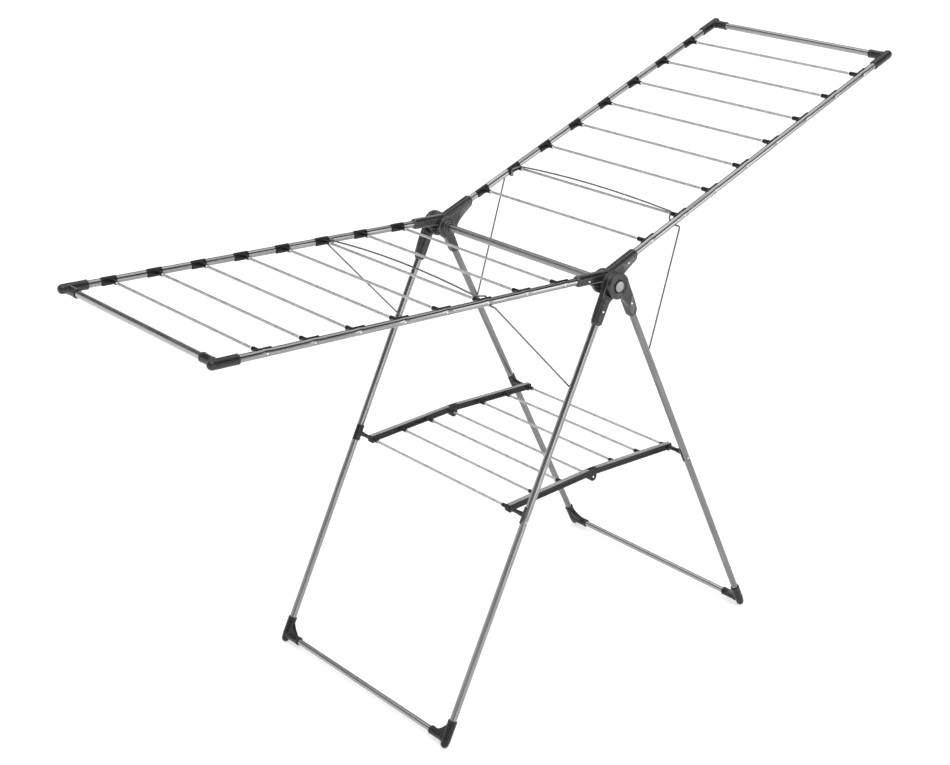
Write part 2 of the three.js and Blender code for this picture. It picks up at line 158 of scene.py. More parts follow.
def bend(start, control, end, steps=8):
    """Points on a parabola from start to end, pulled towards the control point."""
    points = []
    for k in range(steps + 1):
        t = k / steps
        pull = [(1 - t) ** 2 * a + 2 * t * (1 - t) * b + t * t * c for a, b, c in zip(start, control, end)]
        points.append(tuple(pull))
    return points


def rounded(path, radius, steps=6):
    """The path with each corner turned into an arc."""
    points = [Vector(p) for p in path]
    result = [points[0]]
    for before, corner, after in zip(points, points[1:], points[2:]):
        reach = min(radius, (before - corner).length / 2, (after - corner).length / 2)
        start = corner + (before - corner).normalized() * reach
        end = corner + (after - corner).normalized() * reach
        for k in range(steps + 1):
            t = k / steps
            result.append(start.lerp(corner, t).lerp(corner.lerp(end, t), t))
    return result + [points[-1]]


def sweep(bm, path, radius, sides=16, squeeze=None):
    """A round bar along a path, with UVs: U around it, V metres along it.
    squeeze(distance) gives the section's width and height there, as shares of its radius."""
    path = [Vector(p) for p in path]
    uv = bm.loops.layers.uv.verify()
    tangents = [(b - a).normalized() for a, b in zip(path, path[1:])]
    tangents = [tangents[0]] + [(a + b).normalized() for a, b in zip(tangents, tangents[1:])] + [tangents[-1]]
    up = Vector((0, 0, 1)) if abs(tangents[0].z) < 0.9 else Vector((1, 0, 0))
    across = tangents[0].cross(up).normalized()
    rings, distances = [], []
    travelled = 0.0
    for k, (point, tangent) in enumerate(zip(path, tangents)):
        travelled += (point - path[k - 1]).length if k else 0.0
        across = (across - tangent * across.dot(tangent)).normalized()
        rise = across.cross(tangent)
        wide, tall = squeeze(travelled) if squeeze else (1, 1)
        angles = [math.tau * i / sides for i in range(sides)]
        ring = [
            bm.verts.new(point + across * radius * wide * math.cos(a) + rise * radius * tall * math.sin(a))
            for a in angles
        ]
        rings.append(ring)
        distances.append(travelled)
    for k in range(len(rings) - 1):
        for i in range(sides):
            n = (i + 1) % sides
            face = bm.faces.new((rings[k][i], rings[k][n], rings[k + 1][n], rings[k + 1][i]))
            corners = ((i, k), (i + 1, k), (i + 1, k + 1), (i, k + 1))
            for loop, (u, v) in zip(face.loops, corners):
                loop[uv].uv = (u / sides, distances[v] * MM)
    bm.faces.new(rings[0][::-1])
    bm.faces.new(rings[-1])


def steps_between(start, end, pinches):
    """Stations along a tube: its ends, and close ones round each pinch."""
    stations = {start, end}
    for pinch in pinches:
        stations.update(pinch + PINCH_SPREAD * k / 8 for k in range(-8, 9))
    return sorted(s for s in stations if start <= s <= end)


# Pieces


def mesh_of(bm, name="form"):
    """The finished mesh of a bmesh, with its faces pointing out."""
    bmesh.ops.recalc_face_normals(bm, faces=bm.faces)
    mesh = bpy.data.meshes.new(name)
    bm.to_mesh(mesh)
    bm.free()
    return mesh


def temporary(mesh):
    """An object that only carries modifiers, and is removed after them."""
    thing = bpy.data.objects.new("temporary", mesh)
    bpy.context.collection.objects.link(thing)
    return thing


def hole(form, *sizes, **options):
    """One closed form, to be cut out of a moulding."""
    bm = bmesh.new()
    form(bm, *sizes, **options)
    return mesh_of(bm, "hole")


def moulded(body, holes=(), voxel=VOXEL, smoothing=3):
    """One moulded form: the body's parts fused, the holes cut, and every edge softened."""
    solid = temporary(mesh_of(body))
    cutters = [temporary(mesh) for mesh in holes]
    fuse = solid.modifiers.new("fuse", "REMESH")
    fuse.mode = "VOXEL"
    fuse.voxel_size = voxel
    for cutter in cutters:
        cut = solid.modifiers.new("cut", "BOOLEAN")
        cut.object = cutter
        cut.operation = "DIFFERENCE"
        cut.solver = "MANIFOLD"
    soften = solid.modifiers.new("soften", "SMOOTH")
    soften.factor = 0.5
    soften.iterations = smoothing
    evaluated = solid.evaluated_get(bpy.context.evaluated_depsgraph_get())
    mesh = bpy.data.meshes.new_from_object(evaluated)
    for thing in (solid, *cutters):
        bpy.data.objects.remove(thing)
    return mesh


def piece(name, mesh, matrix, body, nodes, material, above_floor=False):
    """A finished piece: its mesh in the row frame, riding on a body and standing for CAD nodes."""
    mesh = mesh.copy()
    mesh.transform(matrix)
    if above_floor:
        for vertex in mesh.vertices:
            vertex.co.z = max(vertex.co.z, 0.0)
    mesh.materials.clear()
    mesh.materials.append(material)
    mesh.shade_smooth()
    made = bpy.data.objects.new(name, mesh)
    bpy.context.collection.objects.link(made)
    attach(made, body)
    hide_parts(*nodes)
    return made


def joined(meshes_and_places):
    """Copies of meshes, each moved by its own matrix, in one mesh."""
    bm = bmesh.new()
    for mesh, place in meshes_and_places:
        copy = mesh.copy()
        copy.transform(place)
        bm.from_mesh(copy)
        bpy.data.meshes.remove(copy)
    mesh = bpy.data.meshes.new("joined")
    bm.to_mesh(mesh)
    bm.free()
    return mesh


def sharpened(made):
    """Smooth shading with creases where faces meet at more than 40 degrees."""
    made.data.set_sharp_from_angle(angle=math.radians(40))
    return made


# Materials

PAINTED_HIGHLIGHT_GAIN = 4  # how many times paler the painted highlight on a sharp edge is


def new_material(name, color, roughness, metallic=0.0):
    """A material, with its nodes, its links and its shader."""
    material = bpy.data.materials.new(name)
    material.use_nodes = True
    nodes = material.node_tree.nodes
    shader = nodes["Principled BSDF"]
    shader.inputs["Base Color"].default_value = (*color, 1)
    shader.inputs["Roughness"].default_value = roughness
    shader.inputs["Metallic"].default_value = metallic
    return material, nodes, material.node_tree.links, shader


def noise_node(nodes, links, source, scale, stretch=(1, 1, 1), detail=3.0):
    """Noise over the source's coordinates, from 0 to 1."""
    mapping = nodes.new("ShaderNodeMapping")
    mapping.inputs["Scale"].default_value = stretch
    links.new(source, mapping.inputs["Vector"])
    noise = nodes.new("ShaderNodeTexNoise")
    noise.inputs["Scale"].default_value = scale
    noise.inputs["Detail"].default_value = detail
    links.new(mapping.outputs["Vector"], noise.inputs["Vector"])
    return noise.outputs["Fac"]


def ranged(nodes, links, value, low, high, start=0.3, end=0.7):
    """The value, clamped to start..end and spread over low..high."""
    spread = nodes.new("ShaderNodeMapRange")
    spread.inputs["From Min"].default_value = start
    spread.inputs["From Max"].default_value = end
    spread.inputs["To Min"].default_value = low
    spread.inputs["To Max"].default_value = high
    links.new(value, spread.inputs["Value"])
    return spread.outputs["Result"]


def two_tone(nodes, links, value, dark, light):
    """The colour between dark and light that the value picks."""
    ramp = nodes.new("ShaderNodeValToRGB")
    ramp.color_ramp.elements[0].position = 0.3
    ramp.color_ramp.elements[1].position = 0.7
    ramp.color_ramp.elements[0].color = (*dark, 1)
    ramp.color_ramp.elements[1].color = (*light, 1)
    links.new(value, ramp.inputs["Fac"])
    return ramp.outputs["Color"]


def bump(nodes, links, shader, height, strength, distance):
    """Lets the height tilt the shader's normal."""
    node = nodes.new("ShaderNodeBump")
    node.inputs["Strength"].default_value = strength
    node.inputs["Distance"].default_value = distance
    links.new(height, node.inputs["Height"])
    links.new(node.outputs["Normal"], shader.inputs["Normal"])


def drawn_steel(name, dark, light, roughness):
    """Drawn steel: fine streaks along the tube, from its UVs, and a slow cloudiness."""
    material, nodes, links, shader = new_material(name, light, roughness[0], metallic=1.0)
    uv = nodes.new("ShaderNodeUVMap").outputs["UV"]
    place = nodes.new("ShaderNodeTexCoord").outputs["Object"]
    streaks = noise_node(nodes, links, uv, 6.0, stretch=(9, 1.5, 1), detail=5.0)
    clouds = noise_node(nodes, links, place, 18.0)
    links.new(two_tone(nodes, links, streaks, dark, light), shader.inputs["Base Color"])
    links.new(ranged(nodes, links, clouds, *roughness), shader.inputs["Roughness"])
    bump(nodes, links, shader, streaks, 0.12, 0.0002)
    return material


def moulded_plastic(name, dark, light, roughness, gloss=0.5):
    """Satin moulded plastic: a fine spark-eroded grain, and a painted highlight that makes sharp edges a
    little paler.
    """
    material, nodes, links, shader = new_material(name, dark, roughness[0])
    shader.inputs["Specular IOR Level"].default_value = gloss
    place = nodes.new("ShaderNodeTexCoord").outputs["Object"]
    blotches = noise_node(nodes, links, place, 45.0)
    grain = noise_node(nodes, links, place, 1400.0, detail=2.0)
    edges = nodes.new("ShaderNodeNewGeometry").outputs["Pointiness"]
    # Painted highlight: sharp edges, found by pointiness, get the light tone made several times paler.
    painted_highlight = ranged(nodes, links, edges, 0.0, 1.0, 0.505, 0.54)
    base = two_tone(nodes, links, blotches, dark, light)
    mix = nodes.new("ShaderNodeMix")
    mix.data_type = "RGBA"
    mix.inputs["B"].default_value = (*[c * PAINTED_HIGHLIGHT_GAIN for c in light], 1)
    links.new(painted_highlight, mix.inputs["Factor"])
    links.new(base, mix.inputs["A"])
    links.new(mix.outputs["Result"], shader.inputs["Base Color"])
    links.new(ranged(nodes, links, blotches, *roughness), shader.inputs["Roughness"])
    bump(nodes, links, shader, grain, 0.25, 0.0002)
    return material


def coated_wire(name, dark, light):
    """Wire with a smooth pale coat that is slightly uneven along its length."""
    material, nodes, links, shader = new_material(name, light, 0.3, metallic=0.35)
    place = nodes.new("ShaderNodeTexCoord").outputs["Object"]
    uneven = noise_node(nodes, links, place, 60.0)
    speckle = noise_node(nodes, links, place, 900.0, detail=1.0)
    links.new(two_tone(nodes, links, uneven, dark, light), shader.inputs["Base Color"])
    links.new(ranged(nodes, links, uneven, 0.24, 0.36), shader.inputs["Roughness"])
    bump(nodes, links, shader, speckle, 0.1, 0.0001)
    return material


# The right legs' steel is a darker copy of the tube steel: painted shade, for how the lamps fall on them.
TUBE = drawn_steel("drawn_steel", (0.16, 0.16, 0.162), (0.42, 0.42, 0.423), (0.12, 0.22))
LEG_STEEL = {
    "left": TUBE,
    "right": drawn_steel("shaded_steel", (0.12, 0.12, 0.12), (0.3, 0.3, 0.302), (0.12, 0.22)),
}
BAR_STEEL = drawn_steel("bar_steel", (0.26, 0.26, 0.264), (0.42, 0.42, 0.425), (0.18, 0.28))
# The left end bar's steel is a paler copy of the bar steel: painted light, for how the lamps fall on it.
END_BAR_STEEL = {
    "left": drawn_steel("painted_light_steel", (0.34, 0.34, 0.344), (0.54, 0.54, 0.545), (0.18, 0.28)),
    "right": BAR_STEEL,
}
AXLE_STEEL = drawn_steel("axle_steel", (0.24, 0.235, 0.24), (0.38, 0.375, 0.38), (0.3, 0.42))
STAY_STEEL = drawn_steel("stay_steel", (0.12, 0.12, 0.125), (0.22, 0.22, 0.225), (0.25, 0.35))
RIVET = drawn_steel("rivet_steel", (0.8, 0.8, 0.81), (0.95, 0.95, 0.95), (0.18, 0.28))
CAP_FINISH = drawn_steel("silver_cap", (0.3, 0.3, 0.31), (0.38, 0.38, 0.39), (0.4, 0.5))
PLASTIC = moulded_plastic(
    "moulded_plastic", (0.007, 0.007, 0.0075), (0.0125, 0.012, 0.0125), (0.24, 0.34)
)
HUB_PLASTIC = moulded_plastic(
    "hub_plastic", (0.015, 0.015, 0.0155), (0.026, 0.0252, 0.0258), (0.22, 0.32)
)
FOOT_PLASTIC = moulded_plastic(
    "foot_plastic", (0.006, 0.006, 0.0052), (0.0105, 0.0105, 0.0092), (0.28, 0.38), gloss=0.36
)
CLIP_PLASTIC = moulded_plastic(
    "clip_plastic", (0.003, 0.003, 0.0032), (0.006, 0.006, 0.0063), (0.3, 0.4), gloss=0.28
)
RAIL_PLASTIC = moulded_plastic(
    "rail_plastic", (0.007, 0.007, 0.007), (0.012, 0.012, 0.0115), (0.3, 0.4), gloss=0.25
)
RAIL_STRIP = moulded_plastic(
    "rail_strip", (0.05, 0.05, 0.05), (0.09, 0.09, 0.09), (0.5, 0.62), gloss=0.4
)
WIRE = coated_wire("coated_wire", (0.36, 0.36, 0.36), (0.5, 0.5, 0.5))
SHELF_WIRE = coated_wire("shelf_wire", (0.42, 0.42, 0.415), (0.55, 0.55, 0.545))
FERRULE = coated_wire("white_ferrule", (0.85, 0.85, 0.85), (0.95, 0.95, 0.95))


# Hubs

HUB_WEB_END = HUB_MOUTH - 8
MOUTH_LIP = 3  # the square sleeve ends this far short of its mouth, where a round lip shows
AXLE_BORE = (235, 320)  # distances from the rack's middle that clear every hub
THROUGH = (-50, 60)  # heights below and above every hub
FLANK_CUT = 8  # thickness that a flank cut takes away


def sleeve_section(plane, offset):
    """The sleeve's cross-section, as (y, z): nearly square, with a narrower top."""
    wide, tall, top = SLEEVE_RADIUS, SLEEVE_RADIUS + 0.6, 5.5
    half = [(wide - 3, -tall), (wide, -tall + 3.5), (wide, tall - 6), (top, tall)]
    return [(plane + y, offset + z) for y, z in half] + [(plane - y, offset + z) for y, z in half[::-1]]


def mouth_lip(bm, plane, offset):
    """The round lip in which a sleeve ends."""
    rod(bm, (HUB_MOUTH - 16, plane, offset), (HUB_MOUTH, plane, offset), SLEEVE_RADIUS - 0.4)


def hub_holes(end, plane, offset, start):
    """The socket of the side tube, from start to the mouth, and the bore for the axle."""
    socket = [(x, end * plane, offset) for x in (start, HUB_MOUTH + PAST)]
    return [
        hole(rod, *socket, TUBE_RADIUS + SLIP),
        hole(rod, *cross_line(end, 0, 0, *AXLE_BORE), AXLE_RADIUS + SLIP),
    ]


def stepped_disc(bm, end, low, high, radius, lip=1.6):
    """A disc on the axle with chamfered rims."""
    rod(bm, *cross_line(end, 0, 0, low + lip, high - lip), radius, sides=64)
    rod(bm, *cross_line(end, 0, 0, low, high), radius - lip, sides=64)


def flank(end, start, high, low, outward):
    """Cuts a hub's side away from high, at start along the arm, to low at the mouth."""
    mouth, depth = HUB_MOUTH + PAST, outward * FLANK_CUT
    outline = [(start, end * high), (mouth, end * low), (mouth, end * (low + depth))]
    outline.append((start, end * (high + depth)))
    return hole(prism, outline, *THROUGH, axis="Z")


# Inner face, outer face and radius of the disc at each end of a leg frame
LEG_DISC = {-1: (301, 312, 29.0), 1: (288, 300.7, 28.0)}
LEG_SLEEVE_START = 33.5
LEG_SOCKET_START = 40
LEG_FLANK = LEG_PLANE + SLEEVE_RADIUS - 0.2  # outer side of a leg hub at its mouth
ARM_STEP = 2.2  # the arm of the outer hub lies this far below the face of its disc
# Hollows in the outer face, by their distances from the rack's middle and their radii
CAP_POCKET = {"floor": 309.6, "radius": 14.4}
DISH = {"floor": 311.0, "brim": 313, "inner": 20.5, "outer": 24.5}


def leg_hub(end):
    """A disc, an arm and a sleeve. The outer disc has a dished face and a pocket for the axle's cap."""
    bm = bmesh.new()
    low, high, radius = LEG_DISC[end]
    stepped_disc(bm, end, low, high, radius)
    inner, outer = LEG_OFFSET - SLEEVE_RADIUS, LEG_OFFSET + SLEEVE_RADIUS
    outline = [(0, radius - 0.5), (55, outer + 0.6), (HUB_WEB_END, outer - 1.5)]
    outline += [(HUB_WEB_END, inner + 1.5), (58, inner - 1), (40, -1), (24, -8), (0, -16)]
    arm_top = high - ARM_STEP if end < 0 else high
    prism(bm, outline, end * low, end * arm_top)
    section = sleeve_section(end * LEG_PLANE, LEG_OFFSET)
    prism(bm, section, LEG_SLEEVE_START, HUB_MOUTH - MOUTH_LIP, axis="X")
    mouth_lip(bm, end * LEG_PLANE, LEG_OFFSET)
    holes = hub_holes(end, LEG_PLANE, LEG_OFFSET, LEG_SOCKET_START)
    if end < 0:
        pocket = cross_line(end, 0, 0, CAP_POCKET["floor"], AXLE_BORE[1])
        dish = cross_line(end, 0, 0, DISH["floor"], DISH["brim"])
        holes.append(flank(end, LEG_SOCKET_START, arm_top, LEG_FLANK, 1))
        holes.append(hole(rod, *pocket, CAP_POCKET["radius"], sides=48))
        holes.append(hole(rod, *dish, DISH["inner"], DISH["outer"], sides=48))
    return moulded(bm, holes)


# Inner face, outer face and radius of the disc, and the faces of the skirt, at each end of a wing
WING_DISC = {-1: (283, 287.7, 27.5), 1: (253, 261.2, 27.5)}
WING_SKIRT = {-1: (283, 286.2), 1: (253, 261.2)}
WING_BOSS = ((253, 248, 19, 17.5), (249, 244, 14, 12.5))  # start, stop and both radii of each step
WING_SLEEVE_START = -4
WING_SOCKET_START = 16
WING_FLANK_START = 42
# The slanted cut past the axle: its gap, its reach up and down, its depth, and its span across the rack
FACING = {"gap": 0.6, "reach": 40, "depth": 60, "span": (261.9, 282.6)}


def wing_facing(end, end_cut):
    """Cuts the end of a wing's sleeve off, so that it clears the other wing."""
    gap, reach, depth = FACING["gap"], FACING["reach"], FACING["depth"]
    slant = math.tan(end_cut)
    outline = [(gap - reach * slant, -reach), (gap + reach * slant, reach)]
    outline += [(-depth, reach), (-depth, -reach)]
    return hole(prism, outline, *(end * y for y in FACING["span"]))


def wing_hub(end, end_cut):
    """A disc with a hanging skirt, a sleeve, and a web between them."""
    bm = bmesh.new()
    low, high, radius = WING_DISC[end]
    stepped_disc(bm, end, low, high, radius, lip=1.0)
    skirt = [(0, 22), (0, 0), (10, -23)] + bend((22, -16), (28, -6), (46, 0.5))
    skirt += [(46, WING_OFFSET), (8, WING_OFFSET + 8)]
    skirt_inner, skirt_outer = WING_SKIRT[end]
    prism(bm, skirt, end * skirt_inner, end * skirt_outer)
    section = sleeve_section(end * WING_PLANE, WING_OFFSET)
    prism(bm, section, WING_SLEEVE_START, HUB_MOUTH - MOUTH_LIP, axis="X")
    web_face = skirt_outer if end < 0 else skirt_inner
    web = bend((24, -8), (40, 2), (HUB_WEB_END, WING_OFFSET - SLEEVE_RADIUS + 0.5))
    web += [(HUB_WEB_END, WING_OFFSET + 5), (24, WING_OFFSET + 5)]
    prism(bm, web, end * WING_PLANE, end * web_face)
    mouth_lip(bm, end * WING_PLANE, WING_OFFSET)
    if end > 0:
        for start, stop, wide, narrow in WING_BOSS:
            rod(bm, *cross_line(end, 0, 0, start, stop), wide, narrow)
    holes = hub_holes(end, WING_PLANE, WING_OFFSET, WING_SOCKET_START)
    holes.append(flank(end, WING_FLANK_START, web_face, WING_PLANE - end * SLEEVE_RADIUS, -end))
    holes.append(wing_facing(end, end_cut))
    return moulded(bm, holes)


# Corners and feet

# Reach of each sleeve from the corner, length of the tip, size of the web and radius of the bar
WING_CORNER = {"mouth": 46, "bar_mouth": 45, "tip": 9.1, "web": 15, "bar_radius": END_BAR_RADIUS}
FOOT = {"mouth": 43.5, "bar_mouth": 51, "tip": 10.8, "web": 42, "bar_radius": FOOT_BAR_RADIUS}
COLLAR = 4  # length of the collar at each mouth
RIB = (9, 12.5)  # start and stop of the rib round the bar's sleeve
WEB_REACH = 6  # half the web's thickness


def corner_plug(end, size, taper=0.0):
    """A plug joining a side tube, from -X, to a bar towards the middle of the rack."""
    bm = bmesh.new()
    inward = -end
    mouth, bar_mouth, tip, web = size["mouth"], size["bar_mouth"], size["tip"], size["web"]
    rod(bm, (-mouth, 0, 0), (0, 0, 0), SLEEVE_RADIUS)
    rod(bm, (-mouth, 0, 0), (-mouth + COLLAR, 0, 0), SLEEVE_RADIUS + 0.3)
    rod(bm, (0, 0, 0), (tip, 0, 0), SLEEVE_RADIUS, SLEEVE_RADIUS - taper)
    ball(bm, (tip, 0, 0), SLEEVE_RADIUS - taper)
    rod(bm, *cross_line(inward, 0, 0, 0, bar_mouth), BAR_SLEEVE_RADIUS)
    rod(bm, *cross_line(inward, 0, 0, bar_mouth - COLLAR, bar_mouth), BAR_SLEEVE_RADIUS + 0.5)
    rod(bm, *cross_line(inward, 0, 0, *RIB), BAR_SLEEVE_RADIUS + 0.7)
    curve = bend((-web, inward * 4), (-web * 0.36, inward * web * 0.32), (-4, inward * web * 1.1))
    outline = [(0, 0), (-web, 0), *curve, (0, inward * web)]
    prism(bm, outline, -WEB_REACH, WEB_REACH, axis="Z")
    bar_bore = cross_line(inward, 0, 0, SLEEVE_RADIUS, bar_mouth + PAST)
    holes = [
        hole(rod, (-BAR_SLEEVE_RADIUS, 0, 0), (-mouth - PAST, 0, 0), TUBE_RADIUS + SLIP),
        hole(rod, *bar_bore, size["bar_radius"] + SLIP),
    ]
    return moulded(bm, holes)


# Clips on the wing tubes

CLIP_LENGTH = 35
CLIP_SHIFT = 5  # middle of the pad from the wire, along the tube
CLIP_THICKNESS = 2.4
CLIP_ARC = (-48, 84)  # degrees of the tube that the pad covers, from +Y upwards
CLIP_RIVET = 8  # rivet from the wire, along the tube
SOCKET_REACH = 29  # mouth of the wire's socket from the tube's axis
SOCKET_DEPTH = 12


def clip_mesh():
    """A clip on the +Y side of a tube, with its pad running towards +X, and the socket at X = 0."""
    bm = bmesh.new()
    section = arc(TUBE_RADIUS + CLIP_THICKNESS, *CLIP_ARC, 14)
    section += arc(TUBE_RADIUS - 0.2, *CLIP_ARC[::-1], 14)
    prism(bm, section, CLIP_SHIFT - CLIP_LENGTH / 2, CLIP_SHIFT + CLIP_LENGTH / 2, axis="X")
    rod(bm, *cross_line(1, 0, WIRE_LIFT, TUBE_RADIUS, SOCKET_REACH), 5.2, 4.8)
    web = [(-6, TUBE_RADIUS), (7, TUBE_RADIUS), (3, 14), (-3, 14)]
    prism(bm, web, -4.5, -0.5, axis="Z")
    bore = cross_line(1, 0, WIRE_LIFT, SOCKET_REACH - SOCKET_DEPTH, SOCKET_REACH + PAST)
    return moulded(bm, [hole(rod, *bore, WIRE_RADIUS + SLIP)], voxel=0.5)


def rivet_mesh(radius, height):
    """A domed rivet head on +Y, with its rim at Y = 0."""
    bm = bmesh.new()
    ball(bm, (0, 0, 0), radius, stretch=(1, height / radius, 1))
    return mesh_of(bm)


def wire_at(number):
    """Distance of a drying wire from the axle, along its wing."""
    return FIRST_WIRE + (number - 1) * WIRE_PITCH


def along_wing(end, x, turned=False):
    """Places a part made on the +Y side of a tube on the inner side of a wing tube, or on its outer side."""
    faces_minus_y = (end > 0) != turned
    turn = Matrix.Rotation(math.pi if faces_minus_y else 0.0, 4, "Z")
    return Matrix.Translation((x, end * WING_PLANE, WING_OFFSET)) @ turn


# Wings

HUB_RIVET = 62  # rivet through a hub's sleeve, along the arm
RIVET_FACE = TUBE_RADIUS * (1 - PINCH) - 0.1  # from the axis of a pinched tube to a rivet's head
WING_HUB_FACE = {-1: 12.1, 1: SLEEVE_RADIUS - 0.1}  # the same on a wing hub
FERRULE_SPAN = (3, -4)  # from inside the socket's mouth to outside it


def pinched(pinches):
    """Section shares of a tube that is squeezed at each rivet."""

    def squeeze(distance):
        dent = max(math.exp(-(((distance - p) / PINCH_WIDTH) ** 2)) for p in pinches)
        return 1 - PINCH * dent, 1 + PINCH_SWELL * dent

    return squeeze


def side_tube(start, stop, plane, offset, pinches):
    """A side tube along its arm, pinched at each rivet."""
    bm = bmesh.new()
    path = [(x, plane, offset) for x in steps_between(start, stop, pinches)]
    sweep(bm, path, TUBE_RADIUS, sides=40, squeeze=pinched([p - start for p in pinches]))
    return mesh_of(bm)


def cross_bar(x, offset, reach, radius, sides=40):
    """A straight bar across the rack, as far to both sides of its middle."""
    bm = bmesh.new()
    sweep(bm, [(x, -reach, offset), (x, 0, offset), (x, reach, offset)], radius, sides=sides)
    return mesh_of(bm)


def ferrule_pair(x, height):
    """The short sleeves round both ends of a drying wire, at the mouths of its sockets."""
    bm = bmesh.new()
    mouth = WING_PLANE - SOCKET_REACH
    for end in ENDS:
        rod(bm, *cross_line(end, x, height, *(mouth + y for y in FERRULE_SPAN)), 3.2, 3.0)
    return mesh_of(bm)


def wing_rivets(end, spots, shared):
    """The rivet heads on the outer side of a wing: one at each clip and one on the hub."""
    on_tube = Matrix.Translation((0, RIVET_FACE, 0))
    on_hub = Matrix.Translation((0, WING_HUB_FACE[end], -3))
    heads = [(shared["rivet"], along_wing(end, x, turned=True) @ on_tube) for x in spots]
    heads.append((shared["hub_rivet"], along_wing(end, HUB_RIVET, turned=True) @ on_hub))
    return joined(heads)


def build_wing_end(side, end, matrix, shared):
    """One side of a wing: hub, tube, clips, rivets and corner."""
    body = f"wing_{side}"
    place = f"{side}_{PLACE[side, end]}"
    tube_node = [f"wing_tube_{place}"]
    numbers = range(1, WIRE_COUNT + 1)
    hub = wing_hub(end, WING_END_CUT[side])
    piece(f"wing_hub_{place}_moulding", hub, matrix, body, [f"wing_hub_{place}"], HUB_PLASTIC)
    spots = [wire_at(n) - end * CLIP_RIVET for n in numbers]
    stop = WING_LENGTH - BAR_SLEEVE_RADIUS - SLIP
    tube = side_tube(WING_SOCKET_START + SLIP, stop, end * WING_PLANE, WING_OFFSET, spots)
    sharpened(piece(f"wing_tube_{place}_steel", tube, matrix, body, tube_node, TUBE))
    clips = joined([(shared["clip"], along_wing(end, wire_at(n))) for n in numbers])
    piece(f"wing_clips_{place}", clips, matrix, body, tube_node, CLIP_PLASTIC)
    piece(f"wing_rivets_{place}", wing_rivets(end, spots, shared), matrix, body, tube_node, RIVET)
    corner_place = matrix @ Matrix.Translation((WING_LENGTH, end * WING_PLANE, WING_OFFSET))
    corner_node = [f"wing_corner_{place}"]
    corner = shared["wing_corner", end]
    piece(f"wing_corner_{place}_moulding", corner, corner_place, body, corner_node, PLASTIC)


def build_wing(side, shared):
    """A drying wing: both its sides, its end bar, its wires and their ferrules."""
    matrix = arm_matrix(side, WING_SLOPE[side])
    body = f"wing_{side}"
    for end in ENDS:
        build_wing_end(side, end, matrix, shared)
    bar = cross_bar(WING_LENGTH, WING_OFFSET, WING_PLANE - SLEEVE_RADIUS - SLIP, END_BAR_RADIUS)
    steel = END_BAR_STEEL[side]
    sharpened(piece(f"end_bar_{side}_steel", bar, matrix, body, [f"end_bar_{side}"], steel))
    reach = WING_PLANE - SOCKET_REACH + SOCKET_DEPTH - 1
    height = WING_OFFSET + WIRE_LIFT
    for n in range(1, WIRE_COUNT + 1):
        node = [f"wing_wire_{side}_{n}"]
        wire = cross_bar(wire_at(n), height, reach, WIRE_RADIUS)
        sharpened(piece(f"wing_wire_{side}_{n}_steel", wire, matrix, body, node, WIRE))
        ferrules = ferrule_pair(wire_at(n), height)
        sharpened(piece(f"wire_ends_{side}_{n}", ferrules, matrix, body, node, FERRULE))


# Stays

STAY_PLANE = 285.7
STAY_BEND = 5.0
STAY_GRIP = 4  # how near a stay's ends come to the plane of the leg tubes
# The hook: where it rises and crosses before its clip's wire, its heights under and over the tube's axis,
# how far inside the tube it rises and crosses, and the rise of the middle of the crossing
HOOK = {"before": 20, "beside": 1, "under": 10, "over": 8, "inside": 13.2, "crossing": 25, "rise": 11}
BOW_STEPS = 4


def build_stay(side):
    """One bent wire from leg to leg: up beside the tubes, hooked over a clip's wire and across the wing."""
    clip = wire_at(STAY_CLIP[side])
    slope = WING_SLOPE[side]
    pivot = arm_point(LEG_SLOPE, STAY_DROP, LEG_OFFSET)
    under = arm_point(slope, clip - HOOK["before"], WING_OFFSET - HOOK["under"])
    risen = arm_point(slope, clip - HOOK["before"], WING_OFFSET + HOOK["over"])
    inside = WING_PLANE - HOOK["inside"]
    half = [
        (pivot, LEG_PLANE - STAY_GRIP),
        (pivot, STAY_PLANE),
        (under, STAY_PLANE),
        (under, inside),
        (risen, inside),
    ]
    crossing = WING_PLANE - HOOK["crossing"]
    for k in range(BOW_STEPS + 1):
        share = 1 - k / BOW_STEPS
        height = WING_OFFSET + HOOK["over"] + HOOK["rise"] * (1 - share**2)
        half.append((arm_point(slope, clip - HOOK["beside"], height), crossing * share))
    path = [(x, y, z) for (x, z), y in half]
    path += [(x, -y, z) for x, y, z in path[-2::-1]]
    bm = bmesh.new()
    sweep(bm, rounded(path, STAY_BEND), STAY_RADIUS, sides=16)
    body = f"stay_{side}"
    sharpened(piece(f"stay_{side}_wire", mesh_of(bm), half_matrix(side), body, [body], STAY_STEEL))


# Legs

RAIL_INNER = 235  # inner and outer faces of the shelf's rails
RAIL_OUTER = 249
PIN_TIP = 241  # end of the pins of the left brackets, from the rack's middle
SADDLE_REACH = 19  # half the length of a bracket's saddle
TUBE_RIVET = SHELF_DROP + 12
LEG_HUB_FACE = {-1: 308.6, 1: LEG_FLANK}  # from the rack's middle to a rivet's head


def bracket_mesh(end, pinned):
    """The shelf bracket: a saddle on the inner side of the leg tube, a waisted arm, a collar and a pin."""
    bm = bmesh.new()
    section = arc(TUBE_RADIUS + CLIP_THICKNESS, -2, 182, 18)
    section += arc(TUBE_RADIUS + SLIP, 182, -2, 18)
    saddle = [(end * LEG_PLANE - end * y, LEG_OFFSET - end * x) for x, y in section]
    prism(bm, saddle, SHELF_DROP - SADDLE_REACH, SHELF_DROP + SADDLE_REACH, axis="X")
    root, tip = LEG_PLANE - TUBE_RADIUS - 1, RAIL_OUTER + SLIP
    waist = (root + tip) / 2
    steps = [(root, waist, 6.5, 4.6), (waist, tip, 4.6, 5.0), (tip, tip + 3, 6.2, 6.2)]
    if pinned:
        steps.append((tip, PIN_TIP, 2.5, 2.5))
    for start, stop, *radii in steps:
        rod(bm, *cross_line(end, SHELF_DROP, LEG_OFFSET, start, stop), *radii)
    return moulded(bm, voxel=0.6)


